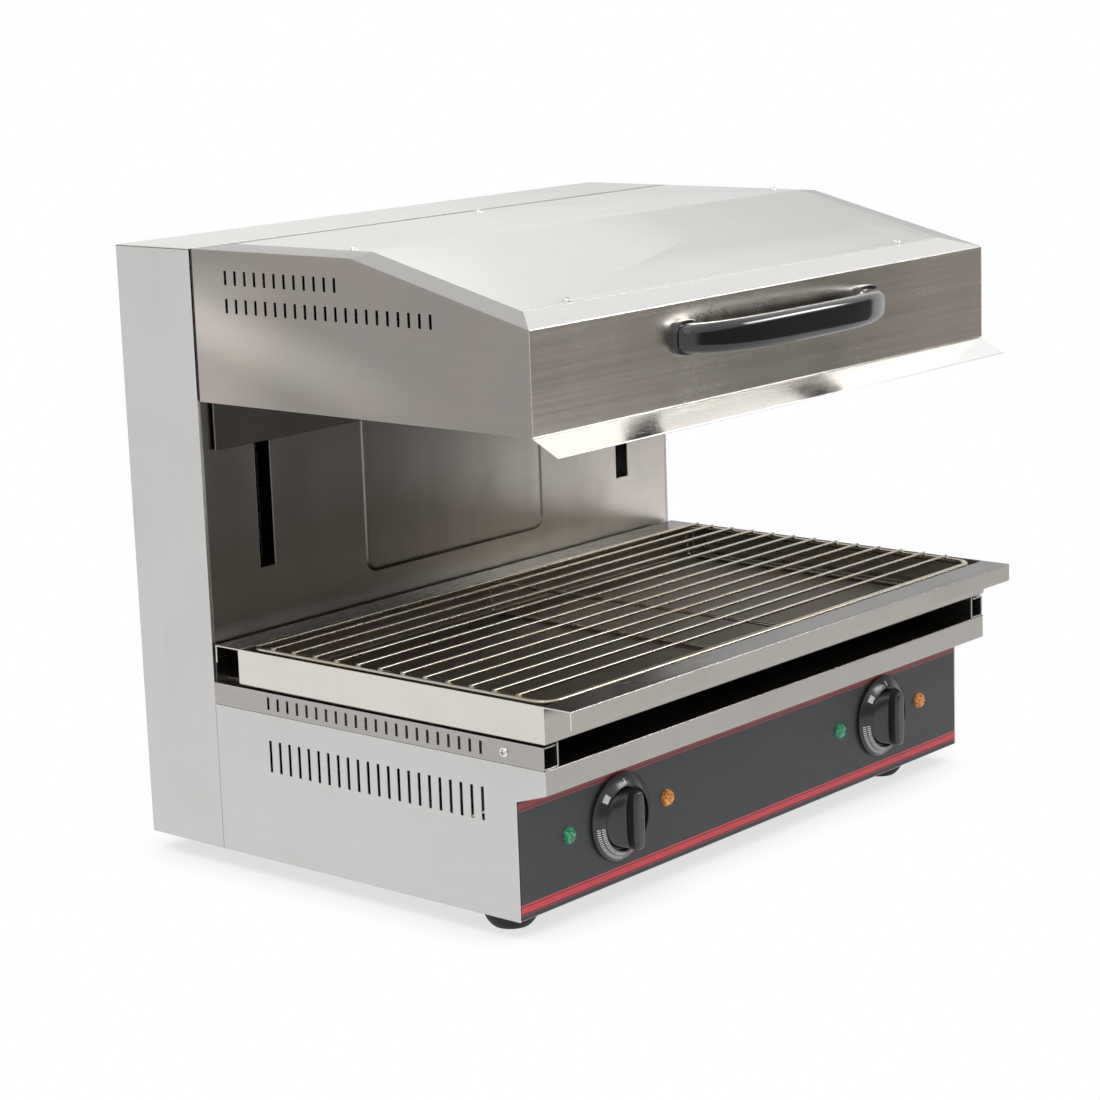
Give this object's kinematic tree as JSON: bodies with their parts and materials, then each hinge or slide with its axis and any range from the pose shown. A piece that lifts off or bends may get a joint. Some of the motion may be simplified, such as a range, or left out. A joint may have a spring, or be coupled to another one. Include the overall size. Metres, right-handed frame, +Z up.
{
  "type": "cheese melter",
  "caption": "Countertop rise-and-fall electric grill in stainless sheet: a lifting heated hood on a rear column over a sliding tray with a lift-out wire grid.",
  "frame": {"origin": "on the floor, under the middle of the outer box", "axes": "+X to the right as seen from the front, +Y towards the back, +Z up"},
  "size_m": [0.6044, 0.503, 0.5175],
  "materials": {
    "steel_light": "brushed stainless sheet, light satin",
    "steel_warm": "brushed stainless sheet, warm satin",
    "steel_dark": "stainless sheet, soiled satin",
    "bright_wire": "bright plated wire",
    "screw_steel": "bright screw",
    "zinc": "zinc plated pressed steel",
    "spring_steel": "rolled spring steel",
    "black_gloss": "moulded, glossy black",
    "knob_black": "moulded, semi-gloss black",
    "overlay_grey": "satin printed film, dark grey with red lines",
    "lamp_green": "translucent green lens",
    "lamp_amber": "translucent amber lens",
    "nylon": "white nylon",
    "black_plastic": "black polyamide",
    "rubber_black": "black moulded rubber",
    "element": "oxidised tubular heating element"
  },
  "bodies": {
    "frame": {"column_side_left": "steel_light", "column_side_right": "steel_light", "column_front_plate": "steel_dark", "column_cap": "steel_light", "column_back_cover": "steel_warm", "back_screws": "screw_steel", "cable_gland": "black_plastic", "base_side_left": "steel_light", "base_side_right": "steel_light", "base_deck": "steel_warm", "base_floor": "steel_dark", "control_plate": "steel_dark", "control_overlay": "overlay_grey", "lamps_green": "lamp_green", "lamps_amber": "lamp_amber", "lamp_nuts": "zinc", "regulators": "black_plastic", "terminal_block": "nylon", "feet": "rubber_black", "foot_screws": "screw_steel", "rail_left": "steel_light", "rail_right": "steel_light", "rail_screws": "screw_steel", "guide_channels": "zinc", "crossbars": "zinc", "reel_brackets": "zinc", "reel_axles": "zinc"},
    "hood": {"hood_cover": "steel_light", "cover_screws": "screw_steel", "hood_side_left": "steel_light", "hood_side_right": "steel_light", "hood_front": "steel_warm", "hood_back": "steel_warm", "front_slat": "steel_light", "handle": "black_gloss", "handle_screws": "screw_steel", "reflector": "steel_dark", "element_left": "element", "element_right": "element", "element_bars": "zinc", "arm_left": "zinc", "arm_right": "zinc", "arm_screws": "screw_steel", "carriage": "zinc", "roller_pins": "zinc", "strip_left": "spring_steel", "strip_right": "spring_steel"},
    "tray": {"tray": "steel_warm"},
    "grid": {"wire_grid": "bright_wire", "grid_legs": "bright_wire"},
    "knob_left": {"knob_left": "knob_black", "shaft_left": "zinc"},
    "knob_right": {"knob_right": "knob_black", "shaft_right": "zinc"},
    "reel_left": {"reel_left": "spring_steel"},
    "reel_right": {"reel_right": "spring_steel"},
    "roller_left_lower": {"roller_left_lower": "nylon"},
    "roller_left_upper": {"roller_left_upper": "nylon"},
    "roller_right_lower": {"roller_right_lower": "nylon"},
    "roller_right_upper": {"roller_right_upper": "nylon"}
  },
  "joints": [
    {"name": "hood_lift", "type": "slide", "parent": "frame", "child": "hood", "axis": [0, 0, -1], "range_m": [0, 0.15], "deforming": ["strip_left", "strip_right"]},
    {"name": "tray_slide", "type": "slide", "parent": "frame", "child": "tray", "axis": [0, -1, 0], "range_m": [0, 0.2]},
    {"name": "grid_lift_out", "type": "slide", "parent": "tray", "child": "grid", "axis": [0, 0, 1], "range_m": [0, 0.03]},
    {"name": "knob_left_turn", "type": "hinge", "parent": "frame", "child": "knob_left", "pos_m": [-0.18, -0.185, 0.069], "axis": [0, 1, 0], "range_deg": [0, 300]},
    {"name": "knob_right_turn", "type": "hinge", "parent": "frame", "child": "knob_right", "pos_m": [0.18, -0.185, 0.069], "axis": [0, 1, 0], "range_deg": [0, 300]},
    {"name": "reel_left_turn", "type": "hinge", "parent": "frame", "child": "reel_left", "pos_m": [-0.09, 0.1959, 0.49], "axis": [1, 0, 0], "range_deg": [0, 540]},
    {"name": "reel_right_turn", "type": "hinge", "parent": "frame", "child": "reel_right", "pos_m": [0.09, 0.1959, 0.49], "axis": [1, 0, 0], "range_deg": [0, 540]},
    {"name": "roller_left_lower_turn", "type": "hinge", "parent": "hood", "child": "roller_left_lower", "pos_m": [-0.19, 0.1925, 0.42], "axis": [0, 1, 0], "range_deg": [0, 870]},
    {"name": "roller_left_upper_turn", "type": "hinge", "parent": "hood", "child": "roller_left_upper", "pos_m": [-0.19, 0.1925, 0.46], "axis": [0, 1, 0], "range_deg": [0, 870]},
    {"name": "roller_right_lower_turn", "type": "hinge", "parent": "hood", "child": "roller_right_lower", "pos_m": [0.19, 0.1925, 0.42], "axis": [0, 1, 0], "range_deg": [-870, 0]},
    {"name": "roller_right_upper_turn", "type": "hinge", "parent": "hood", "child": "roller_right_upper", "pos_m": [0.19, 0.1925, 0.46], "axis": [0, 1, 0], "range_deg": [-870, 0]}
  ],
  "couplings": [
    {"joint": "reel_left_turn", "follows": "hood_lift", "rad_per_m": 62.5},
    {"joint": "reel_right_turn", "follows": "hood_lift", "rad_per_m": 62.5},
    {"joint": "roller_left_lower_turn", "follows": "hood_lift", "rad_per_m": 100},
    {"joint": "roller_left_upper_turn", "follows": "hood_lift", "rad_per_m": 100},
    {"joint": "roller_right_lower_turn", "follows": "hood_lift", "rad_per_m": -100},
    {"joint": "roller_right_upper_turn", "follows": "hood_lift", "rad_per_m": -100}
  ]
}
